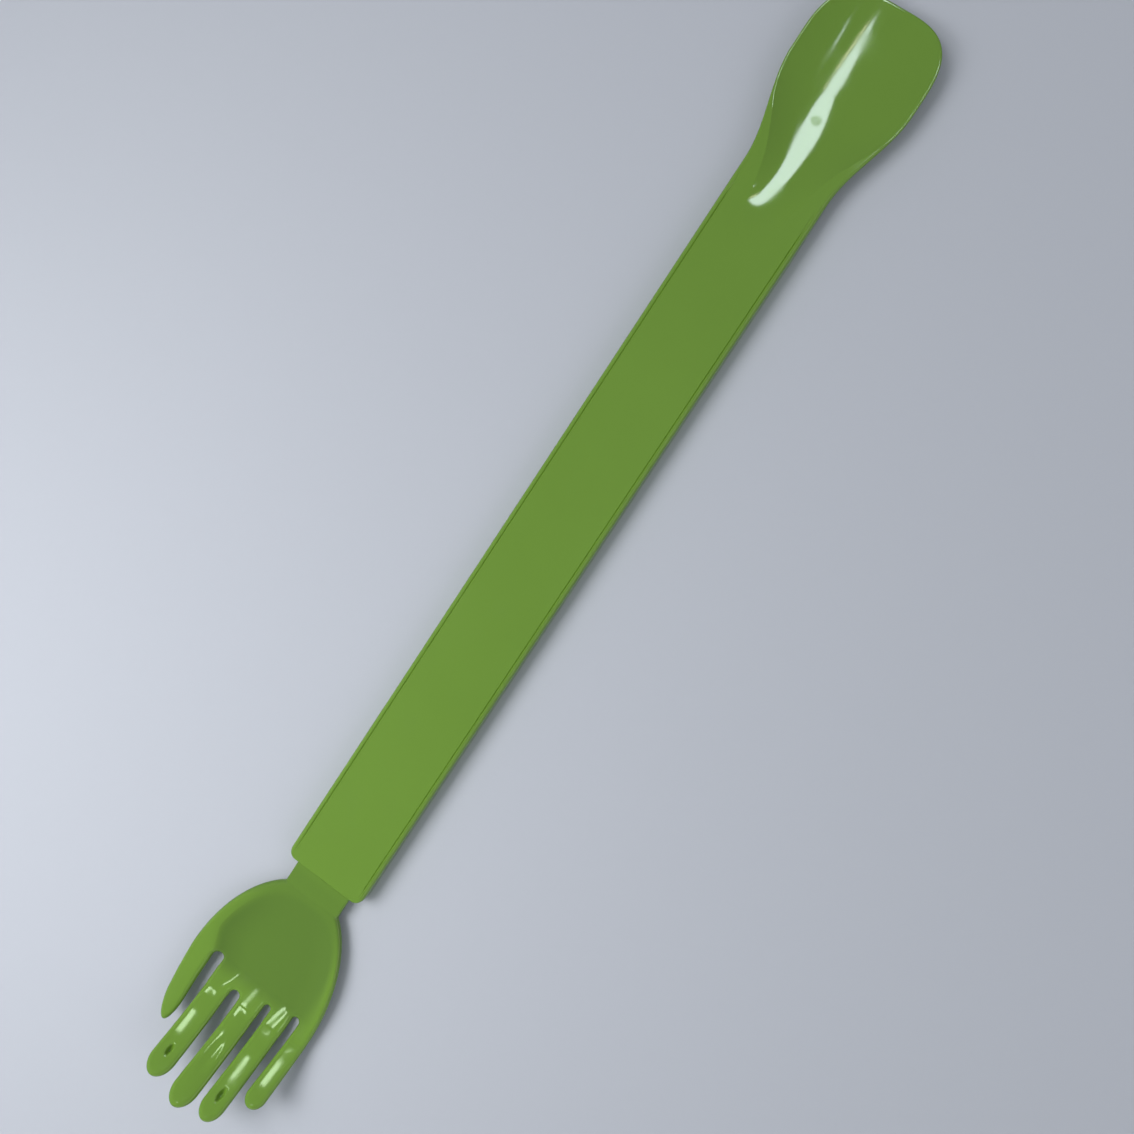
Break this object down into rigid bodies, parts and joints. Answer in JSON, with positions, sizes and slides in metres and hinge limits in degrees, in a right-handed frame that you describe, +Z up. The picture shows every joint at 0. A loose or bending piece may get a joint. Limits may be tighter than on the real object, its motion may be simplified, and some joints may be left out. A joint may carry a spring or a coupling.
{
  "type": "back scratcher",
  "caption": "Flat moulded back scratcher with a curled hand that slides out of a hollow handle, and a shoehorn blade at the other end.",
  "frame": {"origin": "middle of the straight handle, on its flat back", "axes": "+X along the handle towards the shoehorn's tip, +Y towards the thumb, +Z up out of the handle's face"},
  "size_m": [0.381, 0.0472, 0.0194],
  "materials": {
    "handle_plastic": "glossy injection-moulded lime green plastic",
    "hand_plastic": "glossy injection-moulded lime green plastic"
  },
  "bodies": {
    "handle": {"shoehorn_handle": "handle_plastic", "rear_cover": "handle_plastic"},
    "hand": {"scratcher_hand": "hand_plastic"}
  },
  "joints": [
    {"name": "hand_slide", "type": "slide", "parent": "handle", "child": "hand", "axis": [-1, 0, 0], "range_m": [0, 0.16]}
  ]
}
